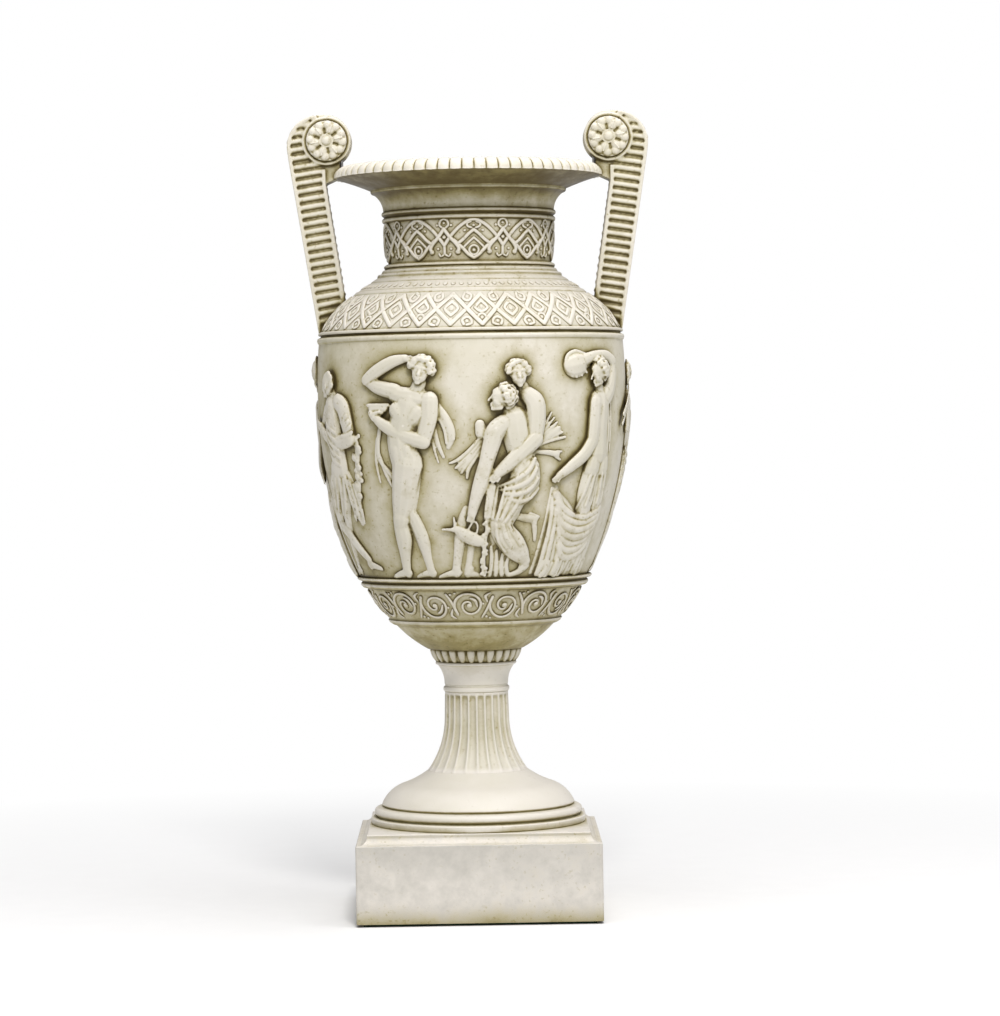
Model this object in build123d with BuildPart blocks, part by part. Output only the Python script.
from build123d import *
from math import cos, pi, radians, sin
import os

# A volute-handled amphora on a square plinth, cast in stone composite as turned sections that
# stack on one steel tie rod. Millimetres, +Z up, origin at the middle of the underside.
# Azimuth 0 is the front, at -Y, and grows towards +X.

# ---- Driving dimensions -------------------------------------------------------------------
FELT = 2.0                 # thickness of the felt sheet that the plinth stands on
FELT_INSET = 5.0
PLINTH_HALF = 90.5
PLINTH_TOP = 59.0
PLINTH_WALL = 10.0
PLINTH_PLATE = 12.0
CAP_TOP = 66.5
CAP_HALF = 82.2            # half the width of the slab above the cavetto
CAP_FILLET = 2.4           # height of the slab's upright edge
DISC_TOP = 72.5
DISC_RADIUS = 80.5
ROLL_TOP = 79.5
ROLL_RADIUS = 78.3
BELL_TOP = 106.0
BELL_TOP_RADIUS = 37.6
STEM_TOP = 165.0
STEM_RADIUS = 23.8
FLUTES = 24
COLLAR_TOP = 188.0
BEAD_TOP = 197.5
BEADS = 20
BOWL_FOOT_RADIUS = 36.0
FLOOR_TOP = 212.0          # the bowl's inside floor, where the upper nut sits
BORDER_LOW, BORDER_HIGH = 216.0, 221.0
SCROLL_TOP = 244.5
GROUND = 253.0             # the ledge that the relief figures stand on
WALL_FOOT = 86.0           # outer radius of the drum at the ledge
BELLY_RADIUS, BELLY_HEIGHT = 116.0, 392.0
EDGE = 434.5               # top edge of the drum
EDGE_RADIUS = 114.0
SHOULDER_BAND_TOP = 464.0
NECK_FOOT = 484.0
NECK_TOP = 527.0
MOUTH_TOP = 553.0
LIP_TOP = 561.0
LIP_RADIUS = 101.5
WALL = 9.0                 # wall thickness of the hollow castings
RELIEF = 5.0               # how far the figures stand out of the drum
GLUE = 0.05                # thickness of the glue line behind them
HANDLE_HALF = 13.0         # half the handle's thickness, front to back
VOLUTE = (106.0, 581.0)    # centre of the volute, X and Z
VOLUTE_RADIUS = 18.5
ROSETTE_RADIUS = 15.9
RIB_PITCH = 6.2
CHANNEL_DEPTH = 2.5
BORDER = 3.6               # width of the raised border beside the ribs
ROD_RADIUS = 4.0
BORE_RADIUS = 4.5
ROD_LOW, ROD_HIGH = 34.0, 226.0
WASHER_RADIUS, WASHER = 13.0, 2.5
NUT_ACROSS_FLATS, NUT = 13.0, 6.5
STEP = 3.0                 # height of the spigot between two sections
FIT = 0.2                  # play between a spigot and its socket
DOWEL_RADIUS = 2.5
BOSS_RADIUS = 14.0         # the central spigot of the solid foot sections

os.makedirs("parts", exist_ok=True)
LOW = (Align.CENTER, Align.CENTER, Align.MIN)


def save(builder, label):
    """Names a finished piece and writes its STEP file."""
    builder.part.label = label
    export_step(builder.part, f"parts/{label}.step")


# ---- Base ---------------------------------------------------------------------------------
with BuildPart() as base_felt:
    side = 2 * (PLINTH_HALF - FELT_INSET)
    Box(side, side, FELT, align=LOW)
save(base_felt, "base_felt")

with BuildPart() as plinth:
    with BuildSketch(Plane.XY.offset(FELT)):
        Rectangle(2 * PLINTH_HALF, 2 * PLINTH_HALF)
    extrude(amount=PLINTH_TOP - FELT)
    fillet(plinth.edges().filter_by(Axis.Z), radius=2.0)
    fillet(plinth.faces().sort_by(Axis.Z)[-1].edges(), radius=0.8)
    inside = 2 * (PLINTH_HALF - PLINTH_WALL)
    with BuildSketch(Plane.XY.offset(FELT)):
        Rectangle(inside, inside)
    extrude(amount=PLINTH_TOP - PLINTH_PLATE - FELT, mode=Mode.SUBTRACT)
    with Locations((0, 0, PLINTH_TOP)):
        Hole(BORE_RADIUS)
save(plinth, "plinth")

# The cap's moulding is one outline drawn across the width and across the depth: where both
# extrusions overlap, the cavetto is mitred at the corners.
with BuildPart() as plinth_cap:
    for across, mode in ((Plane.XZ, Mode.ADD), (Plane.YZ, Mode.INTERSECT)):
        with BuildSketch(across):
            with BuildLine():
                half_foot = PLINTH_HALF - 1.0
                slab_low = CAP_TOP - CAP_FILLET
                foot = (half_foot, PLINTH_TOP)
                neck = (CAP_HALF, slab_low)
                Line((0, PLINTH_TOP), foot)
                ThreePointArc(foot, (CAP_HALF + 2.0, PLINTH_TOP + 1.6), neck)
                Polyline(neck, (CAP_HALF, CAP_TOP), (0, CAP_TOP), (0, PLINTH_TOP))
            make_face()
            mirror(about=Plane.YZ)
        extrude(amount=PLINTH_HALF, both=True, mode=mode)
    fillet(plinth_cap.faces().sort_by(Axis.Z)[-1].edges(), radius=0.7)
    with Locations((0, 0, CAP_TOP)):
        Hole(BORE_RADIUS)
save(plinth_cap, "plinth_cap")

with BuildPart() as foot_ring:
    with BuildSketch(Plane.XZ):
        with BuildLine():
            disc_face = DISC_TOP - 1.2
            roll_middle = (disc_face + ROLL_TOP) / 2
            Polyline((ROLL_RADIUS - 5, ROLL_TOP), (BORE_RADIUS, ROLL_TOP), (BORE_RADIUS, CAP_TOP),
                     (DISC_RADIUS, CAP_TOP), (DISC_RADIUS, disc_face), (ROLL_RADIUS - 3, disc_face))
            ThreePointArc((ROLL_RADIUS - 3, disc_face), (ROLL_RADIUS, roll_middle),
                          (ROLL_RADIUS - 5, ROLL_TOP))
        make_face()
    revolve(axis=Axis.Z)
    with Locations((0, 0, ROLL_TOP)):
        Cylinder(BOSS_RADIUS, STEP, align=LOW)
        Hole(BORE_RADIUS)
save(foot_ring, "foot_ring")

with BuildPart() as foot_bell:
    with BuildSketch(Plane.XZ):
        with BuildLine():
            Polyline((BELL_TOP_RADIUS, BELL_TOP), (BORE_RADIUS, BELL_TOP), (BORE_RADIUS, ROLL_TOP),
                     (72.0, ROLL_TOP), (72.6, ROLL_TOP + 1.5))
            ThreePointArc((72.6, ROLL_TOP + 1.5), (68.0, 88.5), (58.0, 95.5))
            ThreePointArc((58.0, 95.5), (47.2, 100.0), (BELL_TOP_RADIUS, BELL_TOP))
        make_face()
    revolve(axis=Axis.Z)
    with Locations((0, 0, ROLL_TOP)):
        Cylinder(BOSS_RADIUS + FIT, STEP + FIT, align=LOW, mode=Mode.SUBTRACT)
    with Locations((0, 0, BELL_TOP)):
        Cylinder(BOSS_RADIUS, STEP, align=LOW)
        Hole(BORE_RADIUS)
save(foot_bell, "foot_bell")

# ---- Stem ---------------------------------------------------------------------------------
STEM_WAIST = (24.4, 143.0)
STEM_SPREAD = (28.6, 122.6)

with BuildPart() as fluted_stem:
    with BuildSketch(Plane.XZ):
        with BuildLine():
            Polyline((STEM_RADIUS, STEM_TOP), (BORE_RADIUS, STEM_TOP), (BORE_RADIUS, BELL_TOP),
                     (BELL_TOP_RADIUS, BELL_TOP))
            ThreePointArc((BELL_TOP_RADIUS, BELL_TOP), STEM_SPREAD, STEM_WAIST)
            Line(STEM_WAIST, (STEM_RADIUS, STEM_TOP))
        make_face()
    revolve(axis=Axis.Z)
    # One flute is a round cutter swept just outside the stem's face, and the rest are turned copies.
    with BuildPart(mode=Mode.PRIVATE) as cutter:
        flute_waist = (STEM_WAIST[0] + 1.2, 0, STEM_WAIST[1])
        with BuildLine() as spread:
            ThreePointArc((38.6, 0, BELL_TOP + 1.5), (STEM_SPREAD[0] + 1.2, 0, STEM_SPREAD[1]),
                          flute_waist)
        with BuildSketch(Plane(origin=spread.line @ 0, z_dir=spread.line % 0)):
            Circle(2.5)
        sweep(path=spread.line)
        with Locations(flute_waist):
            Cylinder(2.5, STEM_TOP - 4.5 - STEM_WAIST[1], align=LOW)
        with Locations((flute_waist[0], 0, STEM_TOP - 4.5)):
            Sphere(2.5)
    with PolarLocations(0, FLUTES):
        add(cutter.part, mode=Mode.SUBTRACT)
    with Locations((0, 0, BELL_TOP)):
        Cylinder(BOSS_RADIUS + FIT, STEP + FIT, align=LOW, mode=Mode.SUBTRACT)
    with Locations((0, 0, STEM_TOP)):
        Cylinder(BOSS_RADIUS, STEP, align=LOW)
        Hole(BORE_RADIUS)
save(fluted_stem, "fluted_stem")

with BuildPart() as stem_collar:
    with BuildSketch(Plane.XZ):
        with BuildLine():
            ring_top = STEM_TOP + 4.0
            cove_low = (24.0, ring_top + 1.0)
            cove_high = (28.2, COLLAR_TOP - 3.4)
            Polyline(cove_low, (23.4, ring_top), (24.6, ring_top - 0.6), (24.6, STEM_TOP + 0.6),
                     (23.9, STEM_TOP), (BORE_RADIUS, STEM_TOP), (BORE_RADIUS, COLLAR_TOP),
                     (30.4, COLLAR_TOP), (30.4, COLLAR_TOP - 2.4), cove_high)
            ThreePointArc(cove_high, (25.0, 178.0), cove_low)
        make_face()
    revolve(axis=Axis.Z)
    with Locations((0, 0, STEM_TOP)):
        Cylinder(BOSS_RADIUS + FIT, STEP + FIT, align=LOW, mode=Mode.SUBTRACT)
    with Locations((0, 0, COLLAR_TOP)):
        Cylinder(BOSS_RADIUS, STEP, align=LOW)
        Hole(BORE_RADIUS)
save(stem_collar, "stem_collar")

with BuildPart() as bead_ring:
    bead_height = BEAD_TOP - COLLAR_TOP
    with Locations((0, 0, COLLAR_TOP)):
        Cone(29.0, 32.5, bead_height, align=LOW)
    with PolarLocations(31.3, BEADS):
        with Locations((0, 0, COLLAR_TOP + 4.6)):
            Sphere(4.2)
    with BuildSketch(Plane.XY.offset(COLLAR_TOP)):
        Circle(BOWL_FOOT_RADIUS + 5)
    extrude(amount=bead_height, mode=Mode.INTERSECT)
    with Locations((0, 0, COLLAR_TOP)):
        Cylinder(BOSS_RADIUS + FIT, STEP + FIT, align=LOW, mode=Mode.SUBTRACT)
    with Locations((0, 0, BEAD_TOP)):
        Cylinder(BOSS_RADIUS, STEP, align=LOW)
        Hole(BORE_RADIUS)
save(bead_ring, "bead_ring")

# ---- Body ---------------------------------------------------------------------------------
LEDGE_RADIUS = 88.6
INNER_FOOT = WALL_FOOT - WALL - 1.0
SPIGOT = 4.5               # width of the spigot rings between the hollow sections

with BuildPart() as bowl:
    with BuildSketch(Plane.XZ):
        with BuildLine():
            foot = (BOWL_FOOT_RADIUS, BEAD_TOP)
            ThreePointArc(foot, (48.8, 206.0), (59.6, BORDER_LOW))
            Polyline((59.6, BORDER_LOW), (61.4, BORDER_LOW + 0.4), (65.8, BORDER_HIGH - 0.6),
                     (64.8, BORDER_HIGH))
            ThreePointArc((64.8, BORDER_HIGH), (73.6, 232.0), (81.0, SCROLL_TOP))
            Polyline((81.0, SCROLL_TOP), (84.6, SCROLL_TOP + 0.6), (85.8, SCROLL_TOP + 4.0),
                     (84.2, SCROLL_TOP + 5.2), (LEDGE_RADIUS - 0.6, SCROLL_TOP + 6.0),
                     (LEDGE_RADIUS, GROUND - 0.6), (LEDGE_RADIUS - 0.8, GROUND),
                     (INNER_FOOT + SPIGOT, GROUND), (INNER_FOOT + SPIGOT, GROUND + STEP),
                     (INNER_FOOT, GROUND + STEP), (INNER_FOOT, GROUND))
            ThreePointArc((INNER_FOOT, GROUND), (58.0, 226.0), (24.0, FLOOR_TOP))
            Polyline((24.0, FLOOR_TOP), (BORE_RADIUS, FLOOR_TOP), (BORE_RADIUS, BEAD_TOP), foot)
        make_face()
    revolve(axis=Axis.Z)
    with Locations((0, 0, BEAD_TOP)):
        Cylinder(BOSS_RADIUS + FIT, STEP + FIT, align=LOW, mode=Mode.SUBTRACT)
save(bowl, "bowl")

# The drum's outer face is two arcs, which the relief figures' backs share.
LOWER_WALL = ((WALL_FOOT, GROUND), (105.6, 308.0), (BELLY_RADIUS, BELLY_HEIGHT))
UPPER_WALL = ((BELLY_RADIUS, BELLY_HEIGHT), (115.8, 411.0), (EDGE_RADIUS, EDGE))
INNER_EDGE = EDGE_RADIUS - WALL - 1.0

with BuildPart() as drum:
    with BuildSketch(Plane.XZ):
        with BuildLine():
            ThreePointArc(*LOWER_WALL)
            ThreePointArc(*UPPER_WALL)
            Polyline((EDGE_RADIUS, EDGE), (INNER_EDGE + SPIGOT, EDGE),
                     (INNER_EDGE + SPIGOT, EDGE + STEP), (INNER_EDGE, EDGE + STEP),
                     (INNER_EDGE, EDGE))
            ThreePointArc((INNER_EDGE, EDGE), (BELLY_RADIUS - WALL, 395.0),
                          (BELLY_RADIUS - WALL - 1.2, 365.0))
            socket = INNER_FOOT + SPIGOT + FIT
            ThreePointArc((BELLY_RADIUS - WALL - 1.2, 365.0), (96.0, 308.0),
                          (INNER_FOOT + 0.6, GROUND + STEP + FIT))
            Polyline((INNER_FOOT + 0.6, GROUND + STEP + FIT), (socket, GROUND + STEP + FIT),
                     (socket, GROUND), (WALL_FOOT, GROUND))
        make_face()
    revolve(axis=Axis.Z)
save(drum, "drum")

SHOULDER_ARC = ((112.6, 438.0), (103.6, 451.6), (89.5, SHOULDER_BAND_TOP))
NECK_ROOT = 63.6
INNER_NECK = 54.0

with BuildPart() as shoulder:
    with BuildSketch(Plane.XZ):
        with BuildLine():
            ThreePointArc(*SHOULDER_ARC)
            Polyline((89.5, SHOULDER_BAND_TOP), (87.4, 464.4), (87.2, 466.2), (74.0, 474.2),
                     (74.0, 475.8), (70.0, 477.6), (69.4, 479.4), (65.6, 480.4),
                     (NECK_ROOT, 482.4), (NECK_ROOT, NECK_FOOT),
                     (INNER_NECK + SPIGOT, NECK_FOOT), (INNER_NECK + SPIGOT, NECK_FOOT + STEP),
                     (INNER_NECK, NECK_FOOT + STEP), (INNER_NECK, 480.0))
            ThreePointArc((INNER_NECK, 480.0), (84.0, 459.0), (INNER_EDGE, EDGE + STEP + FIT))
            socket = INNER_EDGE + SPIGOT + FIT
            Polyline((INNER_EDGE, EDGE + STEP + FIT), (socket, EDGE + STEP + FIT), (socket, EDGE),
                     (EDGE_RADIUS + 0.8, EDGE), (EDGE_RADIUS + 0.8, EDGE + 2.0),
                     (112.6, 438.0))
        make_face()
    revolve(axis=Axis.Z)
    for side in (-1, 1):
        with Locations((side * 104.0, 0, 443.5)):
            Cylinder(DOWEL_RADIUS, 12, align=LOW, mode=Mode.SUBTRACT)
save(shoulder, "shoulder")

# ---- Neck and mouth -----------------------------------------------------------------------
RING_RADIUS = 65.4

with BuildPart() as neck:
    with BuildSketch(Plane.XZ):
        with BuildLine():
            Polyline((60.8, 489.0), (62.4, 488.2), (NECK_ROOT, 487.0), (NECK_ROOT, NECK_FOOT),
                     (INNER_NECK + SPIGOT + FIT, NECK_FOOT),
                     (INNER_NECK + SPIGOT + FIT, NECK_FOOT + STEP + FIT),
                     (INNER_NECK, NECK_FOOT + STEP + FIT), (INNER_NECK + 2.4, NECK_TOP),
                     (INNER_NECK + 2.4, NECK_TOP + STEP),
                     (INNER_NECK + SPIGOT, NECK_TOP + STEP), (INNER_NECK + SPIGOT, NECK_TOP),
                     (RING_RADIUS, NECK_TOP), (RING_RADIUS, NECK_TOP - 3.0),
                     (64.2, NECK_TOP - 3.6), (64.2, NECK_TOP - 4.4),
                     (RING_RADIUS - 0.4, NECK_TOP - 5.0), (RING_RADIUS - 0.4, NECK_TOP - 7.4),
                     (63.6, NECK_TOP - 8.0))
            ThreePointArc((63.6, NECK_TOP - 8.0), (63.0, 505.0), (60.8, 489.0))
        make_face()
    revolve(axis=Axis.Z)
save(neck, "neck")

with BuildPart() as mouth:
    with BuildSketch(Plane.XZ):
        with BuildLine():
            socket = INNER_NECK + SPIGOT + FIT
            throat = (INNER_NECK + 2.4, NECK_TOP + STEP + FIT)
            ThreePointArc((64.4, NECK_TOP), (66.4, 534.6), (71.8, 541.0))
            Polyline((71.8, 541.0), (73.4, 541.2), (73.8, 542.8))
            ThreePointArc((73.8, 542.8), (85.6, 548.0), (99.4, MOUTH_TOP))
            Polyline((99.4, MOUTH_TOP), (85.0, MOUTH_TOP), (85.0, MOUTH_TOP + STEP),
                     (79.0, MOUTH_TOP + STEP))
            ThreePointArc((79.0, MOUTH_TOP + STEP), (62.6, 543.0), throat)
            Polyline(throat, (socket, NECK_TOP + STEP + FIT), (socket, NECK_TOP),
                     (64.4, NECK_TOP))
        make_face()
    revolve(axis=Axis.Z)
save(mouth, "mouth")

LIP_FACE = ((LIP_RADIUS, MOUTH_TOP), (99.0, 558.2), (91.0, LIP_TOP))

with BuildPart() as lip:
    with BuildSketch(Plane.XZ):
        with BuildLine():
            ThreePointArc(*LIP_FACE)
            socket = 85.0 + FIT
            Polyline((91.0, LIP_TOP), (84.6, LIP_TOP), (79.0, MOUTH_TOP + STEP + FIT),
                     (socket, MOUTH_TOP + STEP + FIT), (socket, MOUTH_TOP),
                     (LIP_RADIUS, MOUTH_TOP))
        make_face()
    revolve(axis=Axis.Z)
    for side in (-1, 1):
        with Locations((side * 95.5, 0, 555.5)):
            Cylinder(DOWEL_RADIUS - 1, 8, align=LOW, mode=Mode.SUBTRACT)
save(lip, "lip")

# ---- Handles ------------------------------------------------------------------------------
STRAP_OUTER_LOW, STRAP_OUTER_HIGH = (114.4, 440.0), (135.2, 570.3)
STRAP_INNER_LOW, STRAP_INNER_HIGH = (93.0, 458.0), (107.0, 549.0)
CROWN_MIDDLE = (111.5, 576.5)         # centre of the arc that the handle turns over at the top
CROWN_RADIUS = 24.5
STRAP_RIBS = 20
FAN_RIBS = 5
FAN_START, FAN_STEP = -2.0, 15.0      # degrees about the crown's centre, above the horizontal


def between(a, b, share):
    """The point that far along the line from a to b."""
    return tuple(p + (q - p) * share for p, q in zip(a, b))


def crown(radius, degrees):
    """A point about the centre of the handle's turn."""
    turn = radians(degrees)
    return (CROWN_MIDDLE[0] + radius * cos(turn), CROWN_MIDDLE[1] + radius * sin(turn))


with BuildPart() as handle_right:
    with BuildSketch(Plane.XZ) as outline:
        with BuildLine():
            tuck = (VOLUTE[0] - 9.5, VOLUTE[1] - 15.9)
            Polyline(STRAP_OUTER_LOW, STRAP_OUTER_HIGH)
            ThreePointArc(STRAP_OUTER_HIGH, crown(CROWN_RADIUS, 40), crown(CROWN_RADIUS, 90))
            ThreePointArc(crown(CROWN_RADIUS, 90), (VOLUTE[0] - VOLUTE_RADIUS, VOLUTE[1] + 1.0),
                          tuck)
            Polyline(tuck, (95.5, 554.0), (101.0, 551.0), STRAP_INNER_HIGH, STRAP_INNER_LOW,
                     (93.0, 440.0), STRAP_OUTER_LOW)
        make_face()
    extrude(amount=HANDLE_HALF, both=True)
    # A sunk channel on each face, between the borders, from the foot up round the volute.
    for face in (-1, 1):
        plane = Plane.XZ.offset(-face * (HANDLE_HALF - CHANNEL_DEPTH))
        with BuildSketch(plane) as channel:
            with BuildLine():
                inner_radius = CROWN_RADIUS - BORDER
                low_out = (STRAP_OUTER_LOW[0] - BORDER + 0.8, STRAP_OUTER_LOW[1] + 5)
                high_out = (STRAP_OUTER_HIGH[0] - BORDER, STRAP_OUTER_HIGH[1])
                high_in = (STRAP_INNER_HIGH[0] + BORDER, STRAP_INNER_HIGH[1])
                low_in = (STRAP_INNER_LOW[0] + BORDER, STRAP_INNER_LOW[1] - 8)
                crest = crown(inner_radius, 78)
                Polyline(crest, (108.0, 590.0), (112.0, 566.0), high_in, low_in, low_out, high_out)
                ThreePointArc(high_out, crown(inner_radius, 30), crest)
            make_face()
        extrude(amount=-face * CHANNEL_DEPTH, mode=Mode.SUBTRACT)
        # Ribs lie across the strap, and fan out at the top.
        with BuildSketch(plane):
            for rib in range(STRAP_RIBS):
                share = (rib + 0.6) * RIB_PITCH / 128.0
                inner = between((97.0, 446.0), (112.4, 566.0), share)
                outer = between((112.2, 444.4), (132.0, 564.0), share)
                with Locations(Location((*between(inner, outer, 0.5), 0), (0, 0, -8.5))):
                    SlotOverall(30.0, 3.8)
            for rib in range(FAN_RIBS):
                turn = FAN_START + rib * FAN_STEP
                with Locations(Location((*crown(18.0, turn), 0), (0, 0, turn))):
                    SlotOverall(12.0, 3.8)
            add(channel.sketch_local, mode=Mode.INTERSECT)
        extrude(amount=-face * (CHANNEL_DEPTH - 0.6))
        # The drum of the volute stands a little proud of the border.
        with BuildSketch(plane):
            with Locations(VOLUTE):
                Circle(VOLUTE_RADIUS)
        extrude(amount=-face * (CHANNEL_DEPTH + 1.0))
    # The foot is scribed to the shoulder and the drum's edge, and the volute to the lip.
    with BuildSketch(Plane.XZ):
        with BuildLine():
            ThreePointArc(*SHOULDER_ARC)
            Polyline(SHOULDER_ARC[2], (0, SHOULDER_BAND_TOP), (0, 430), (EDGE_RADIUS + 0.8, 430),
                     (EDGE_RADIUS + 0.8, EDGE + 2.0), SHOULDER_ARC[0])
        make_face()
    revolve(axis=Axis.Z, mode=Mode.SUBTRACT)
    with BuildSketch(Plane.XZ):
        with BuildLine():
            ThreePointArc(*LIP_FACE)
            Polyline(LIP_FACE[2], (80.0, LIP_TOP), (80.0, 545.0), (LIP_RADIUS, 552.6), LIP_FACE[0])
        make_face()
    revolve(axis=Axis.Z, mode=Mode.SUBTRACT)
    with Locations((104.0, 0, 440.0)):
        Cylinder(DOWEL_RADIUS, 30, align=LOW, mode=Mode.SUBTRACT)
    with Locations((95.5, 0, 555.5)):
        Cylinder(DOWEL_RADIUS - 1, 16, align=LOW, mode=Mode.SUBTRACT)
save(handle_right, "handle_right")

with BuildPart() as handle_left:
    add(handle_right.part)
    mirror(about=Plane.YZ, mode=Mode.REPLACE)
save(handle_left, "handle_left")

PETALS = 6
FACE = HANDLE_HALF + 1.0   # distance of the volute's face from the middle plane

for depth_name, depth in (("front", -1), ("back", 1)):
    for side_name, side in (("left", -1), ("right", 1)):
        with BuildPart() as rosette:
            face = Plane(origin=(side * VOLUTE[0], depth * FACE, VOLUTE[1]), x_dir=(1, 0, 0),
                         z_dir=(0, depth, 0))
            with BuildSketch(face):
                Circle(ROSETTE_RADIUS)
            extrude(amount=1.6)
            with BuildSketch(face):
                with PolarLocations(9.6, PETALS, start_angle=90):
                    Ellipse(5.4, 4.4)
            extrude(amount=2.8)
            with BuildSketch(face):
                Circle(4.6)
            extrude(amount=3.8)
            boss = rosette.faces().filter_by(Axis.Y).sort_by(Axis.Y, reverse=depth > 0)[0]
            fillet(boss.edges(), radius=0.8)
        save(rosette, f"rosette_{depth_name}_{side_name}")

with BuildPart() as handle_dowels:
    for side in (-1, 1):
        with Locations((side * 104.0, 0, 443.5)):
            Cylinder(DOWEL_RADIUS, 26, align=LOW)
        with Locations((side * 95.5, 0, 555.5)):
            Cylinder(DOWEL_RADIUS - 1, 15.5, align=LOW)
save(handle_dowels, "handle_dowels")

# ---- Tie rod and its fasteners ------------------------------------------------------------
with BuildPart() as tie_rod:
    with Locations((0, 0, ROD_LOW)):
        Cylinder(ROD_RADIUS, ROD_HIGH - ROD_LOW, align=LOW)
    chamfer(tie_rod.edges().filter_by(GeomType.CIRCLE), length=0.8)
save(tie_rod, "tie_rod")

PLATE_UNDERSIDE = PLINTH_TOP - PLINTH_PLATE
for name, low in (("base_washer", PLATE_UNDERSIDE - WASHER), ("bowl_washer", FLOOR_TOP)):
    with BuildPart() as washer:
        with Locations((0, 0, low)):
            Cylinder(WASHER_RADIUS, WASHER, align=LOW)
            Cylinder(BORE_RADIUS, WASHER, align=LOW, mode=Mode.SUBTRACT)
    save(washer, name)

for name, low in (("base_nut", PLATE_UNDERSIDE - WASHER - NUT), ("bowl_nut", FLOOR_TOP + WASHER)):
    with BuildPart() as nut:
        with BuildSketch(Plane.XY.offset(low)):
            RegularPolygon(NUT_ACROSS_FLATS / 2, 6, major_radius=False)
            Circle(ROD_RADIUS, mode=Mode.SUBTRACT)
        extrude(amount=NUT)
    save(nut, name)

# ---- Relief figures -----------------------------------------------------------------------
# Each figure is a flat-faced applied relief cut from a shell on the drum. A stroke is a limb or
# a fold: start and end across and above the ledge, and its width.
GARLAND_BEARER = [(4, 146, 4, 147, 19), (2, 136, 12, 108, 20), (22, 130, 26, 108, 10),
                  (26, 106, -14, 114, 9), (8, 108, 8, 80, 22), (30, 106, 20, 50, 9),
                  (4, 80, -12, 46, 15), (-12, 46, -1, 10, 10), (12, 78, 2, 44, 14),
                  (2, 44, 12, 9, 9), (-1, 5, -14, 3, 7), (12, 6, 20, 3, 7), (-8, 108, -12, 62, 10)]
YOUTH = [(15, 153, 15, 154, 21), (10, 143, 8, 135, 10), (-3, 133, -30, 145, 11),
         (-30, 146, 8, 160, 10), (1, 130, 16, 128, 18), (3, 124, 2, 92, 24), (20, 128, 14, 101, 11),
         (13, 100, -21, 120, 10), (2, 88, -7, 48, 17), (-7, 48, -12, 10, 12),
         (6, 84, 1, 48, 14), (1, 48, 8, 14, 10), (-12, 6, -26, 4, 7), (8, 9, -4, 4, 7),
         (27, 124, 34, 98, 9), (-22, 96, -18, 58, 7)]
PAIR = [(4, 148, 5, 149, 21), (-5, 131, 0, 133, 21), (14, 128, 18, 100, 13), (18, 99, -9, 74, 11),
        (-8, 113, -14, 88, 12), (-15, 87, -24, 50, 10), (2, 116, 10, 84, 28), (14, 84, 10, 68, 26),
        (6, 62, -4, 38, 18), (-4, 38, 18, 14, 15), (18, 12, 8, 4, 8), (2, 44, 22, 39, 8),
        (22, 39, 22, 26, 6), (-28, 60, -34, 24, 10), (-34, 24, -38, 5, 9), (-42, 3, -26, 3, 6),
        (-16, 68, -16, 4, 7), (-20, 32, -40, 37, 8), (-22, 112, -36, 82, 9),
        (24, 116, 42, 104, 12), (24, 98, 38, 90, 9), (-20, 5, -4, 3, 6), (2, 14, 4, 4, 14)]
DANCER = [(-6, 148, -5, 149, 20), (-28, 152, -31, 151, 17), (-28, 158, 14, 160, 10),
          (14, 158, 6, 134, 10), (-4, 132, 2, 128, 16), (-5, 128, -11, 96, 10),
          (-12, 94, -39, 67, 9), (2, 126, -1, 92, 18), (-1, 88, 4, 70, 20), (6, 70, 10, 10, 14),
          (-8, 72, -10, 10, 10), (-37, 62, -28, 6, 8), (-28, 44, 10, 38, 14),
          (-26, 28, 8, 22, 18), (-22, 10, 14, 8, 16), (10, 130, 12, 80, 5)]
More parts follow.
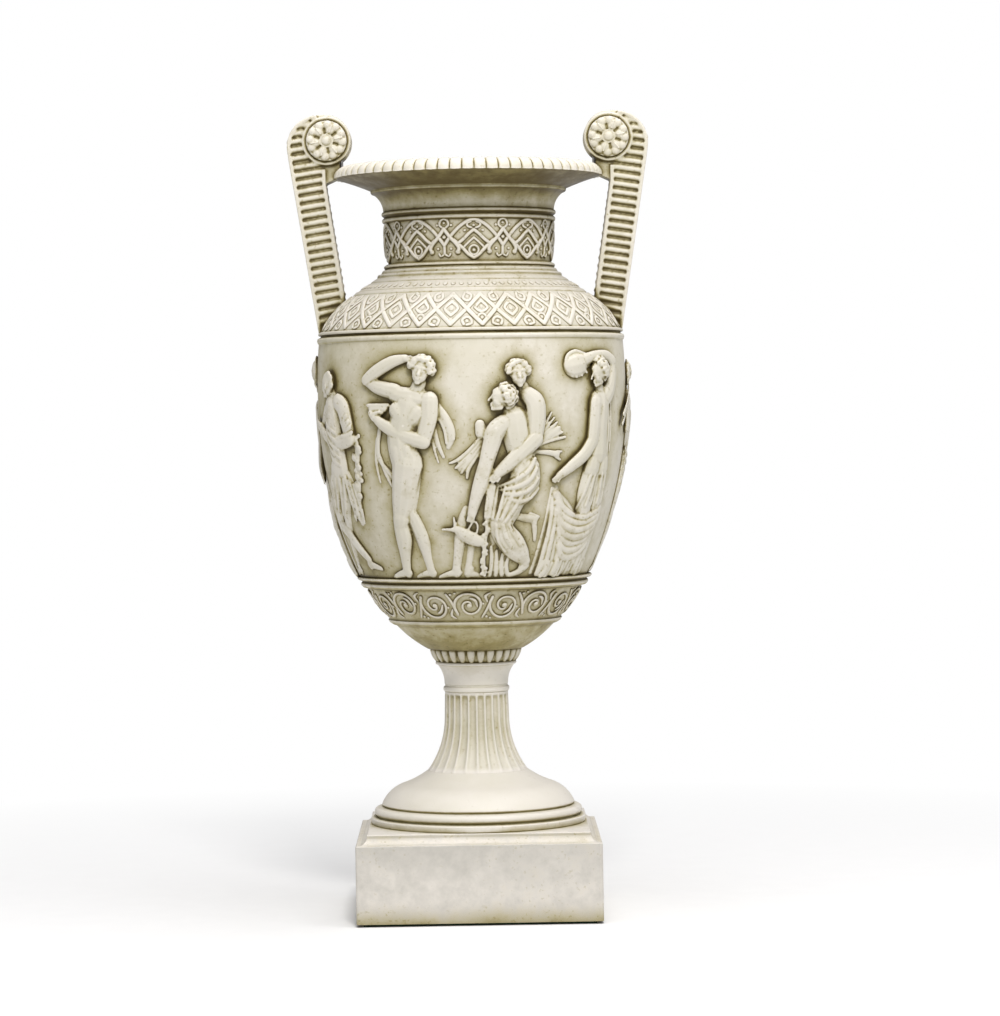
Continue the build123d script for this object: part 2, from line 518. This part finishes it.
PIPER = [(0, 148, 0, 149, 20), (-2, 139, -6, 132, 10), (-4, 128, 2, 92, 24), (-12, 130, -18, 110, 10),
         (-18, 110, -24, 132, 9), (6, 130, 4, 108, 10), (4, 108, -18, 126, 9),
         (-10, 141, -40, 118, 5), (2, 88, 12, 48, 17), (12, 48, 20, 10, 12), (-2, 84, -10, 48, 15),
         (-10, 48, -10, 10, 11), (-12, 5, -22, 3, 7), (20, 5, 8, 3, 7), (12, 126, 26, 70, 12)]
FRIEZE = {
    "relief_garland_bearer": (-65.0, 1, GARLAND_BEARER),
    "relief_youth_with_cup": (-25.0, 1, YOUTH),
    "relief_reeling_pair": (14.0, 1, PAIR),
    "relief_veiled_dancer": (54.0, 1, DANCER),
    "relief_piper": (93.0, 1, PIPER),
    "relief_back_youth": (131.0, -1, YOUTH),
    "relief_back_pair": (170.0, -1, PAIR),
    "relief_back_piper": (217.0, -1, PIPER),
    "relief_back_dancer": (254.0, -1, DANCER),
}


def offset_wall(gap):
    """The two arcs of the drum's outer face, moved outwards by that gap."""
    return [[(r + gap, z) for r, z in arc] for arc in (LOWER_WALL, UPPER_WALL)]


def length_and_turn(x1, y1, x2, y2):
    """How long a stroke is, and the angle that it runs at, in degrees."""
    run = Vector(x2 - x1, y2 - y1, 0)
    return run.length, Vector(1, 0, 0).get_signed_angle(run, Vector(0, 0, 1))


for name, (azimuth, hand, strokes) in FRIEZE.items():
    turn = radians(azimuth)
    outward = (sin(turn), -cos(turn), 0)
    across = (cos(turn), sin(turn), 0)
    with BuildPart() as figure:
        with BuildSketch(Plane(origin=(0, 0, GROUND), x_dir=across, z_dir=outward)):
            for x1, y1, x2, y2, width in strokes:
                x1, x2 = hand * x1, hand * x2
                length, angle = length_and_turn(x1, y1, x2, y2)
                with Locations(Location(((x1 + x2) / 2, (y1 + y2) / 2, 0), (0, 0, angle))):
                    SlotCenterToCenter(length, width)
        extrude(amount=BELLY_RADIUS + 2 * RELIEF)
        with BuildSketch(Plane.XZ):
            with BuildLine():
                low_back, high_back = offset_wall(GLUE)
                low_face, high_face = offset_wall(RELIEF)
                ThreePointArc(*low_back)
                ThreePointArc(*high_back)
                Line(high_back[2], high_face[2])
                ThreePointArc(*high_face)
                ThreePointArc(*low_face)
                Line(low_face[0], low_back[0])
            make_face()
        revolve(axis=Axis.Z, mode=Mode.INTERSECT)
    save(figure, name)
